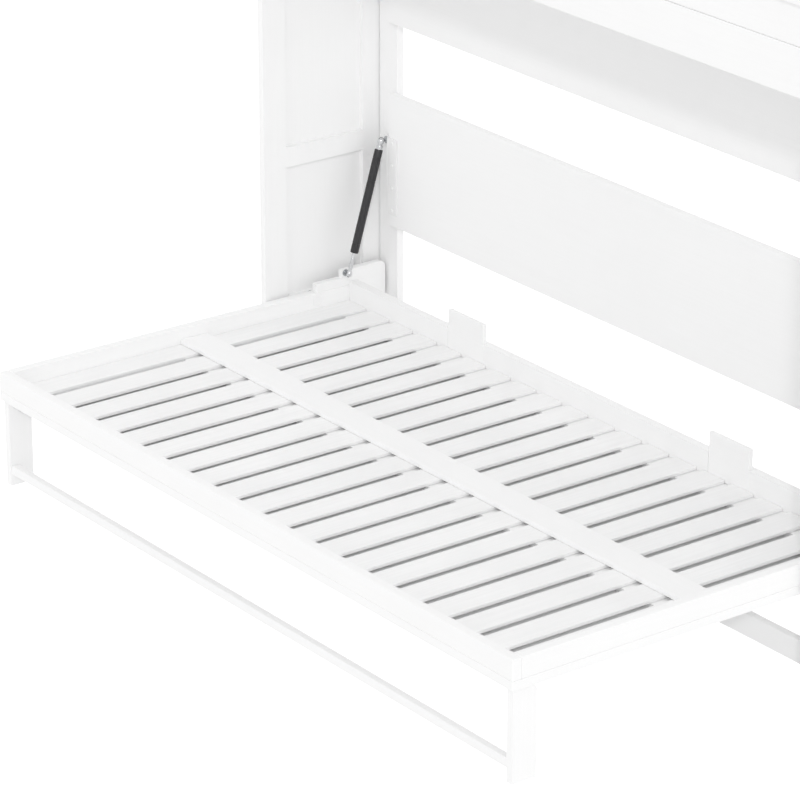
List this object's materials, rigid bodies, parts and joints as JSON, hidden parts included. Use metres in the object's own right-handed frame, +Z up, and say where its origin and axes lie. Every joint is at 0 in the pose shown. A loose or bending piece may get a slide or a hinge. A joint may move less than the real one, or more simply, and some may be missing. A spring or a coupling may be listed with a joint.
{
  "type": "murphy wall bed",
  "caption": "Side-folding cabinet bed: a slatted twin bed frame with a folding leg frame pivots up on gas struts into a shallow white wall cabinet.",
  "frame": {"origin": "on the floor, under the middle of the whole object's length and depth", "axes": "+X along the cabinet and the bed's length, +Y towards the wall behind the cabinet, +Z up; the lowered bed reaches towards -Y"},
  "size_m": [2.061, 1.163, 1.5423],
  "materials": {
    "white_paint": "satin white paint",
    "deck_paint": "thin white paint",
    "strut_tube": "satin charcoal paint",
    "white_steel": "white powder coat",
    "bright_steel": "bright plated steel"
  },
  "bodies": {
    "cabinet": {"cabinet_side_left": "white_paint", "cabinet_side_right": "white_paint", "rear_upright_left": "white_paint", "rear_upright_right": "white_paint", "mid_back_board": "white_paint", "upper_back_board": "white_paint", "base_rail": "white_paint", "header_rail": "white_paint", "fascia_board": "white_paint", "top_panel": "white_paint", "pivot_bolt_left": "bright_steel", "pivot_bolt_right": "bright_steel", "strut_bracket_left": "white_steel", "strut_bracket_right": "white_steel"},
    "bed": {"slat_01": "deck_paint", "slat_02": "deck_paint", "slat_03": "deck_paint", "slat_04": "deck_paint", "slat_05": "deck_paint", "slat_06": "deck_paint", "slat_07": "deck_paint", "slat_08": "deck_paint", "slat_09": "deck_paint", "slat_10": "deck_paint", "slat_11": "deck_paint", "slat_12": "deck_paint", "slat_13": "deck_paint", "slat_14": "deck_paint", "slat_15": "deck_paint", "slat_16": "deck_paint", "slat_17": "deck_paint", "slat_18": "deck_paint", "slat_19": "deck_paint", "slat_20": "deck_paint", "centre_board": "deck_paint", "front_rail": "white_paint", "back_rail": "white_paint", "panel_frame": "white_paint", "inset_panel_front": "white_paint", "inset_panel_rear": "white_paint", "side_rail_left": "white_paint", "side_rail_right": "white_paint", "mattress_stop_left": "white_paint", "mattress_stop_right": "white_paint", "rear_arm_left": "white_paint", "rear_arm_right": "white_paint", "leg_bracket_left": "bright_steel", "leg_bracket_right": "bright_steel", "leg_pin_left": "bright_steel", "leg_pin_right": "bright_steel", "strut_lower_stud_left": "bright_steel", "strut_lower_stud_right": "bright_steel"},
    "leg_frame": {"leg_left": "white_paint", "leg_right": "white_paint", "leg_stretcher": "white_paint"},
    "strut_tube_left": {"strut_tube_left": "strut_tube"},
    "strut_tube_right": {"strut_tube_right": "strut_tube"},
    "strut_rod_left": {"strut_rod_left": "bright_steel"},
    "strut_rod_right": {"strut_rod_right": "bright_steel"}
  },
  "joints": [
    {"name": "bed_fold", "type": "hinge", "parent": "cabinet", "child": "bed", "pos_m": [0, 0.3425, 0.27], "axis": [-1, 0, 0], "range_deg": [0, 90]},
    {"name": "leg_fold", "type": "hinge", "parent": "bed", "child": "leg_frame", "pos_m": [0, -0.5265, 0.201], "axis": [1, 0, 0], "range_deg": [0, 90]},
    {"name": "strut_swing_left", "type": "hinge", "parent": "cabinet", "child": "strut_tube_left", "pos_m": [-0.952, 0.5305, 0.659], "axis": [1, 0, 0], "range_deg": [0, 1.47]},
    {"name": "strut_slide_left", "type": "slide", "parent": "strut_tube_left", "child": "strut_rod_left", "axis": [0, -0.2902, -0.957], "range_m": [0, 0.1465]},
    {"name": "strut_swing_right", "type": "hinge", "parent": "cabinet", "child": "strut_tube_right", "pos_m": [0.952, 0.5305, 0.659], "axis": [1, 0, 0], "range_deg": [0, 1.47]},
    {"name": "strut_slide_right", "type": "slide", "parent": "strut_tube_right", "child": "strut_rod_right", "axis": [0, -0.2902, -0.957], "range_m": [0, 0.1465]}
  ],
  "couplings": [
    {"joint": "strut_swing_left", "follows": "bed_fold", "ratio": 0.01526},
    {"joint": "strut_slide_left", "follows": "bed_fold", "m_per_rad": 0.09294},
    {"joint": "strut_swing_right", "follows": "bed_fold", "ratio": 0.01526},
    {"joint": "strut_slide_right", "follows": "bed_fold", "m_per_rad": 0.09294}
  ]
}
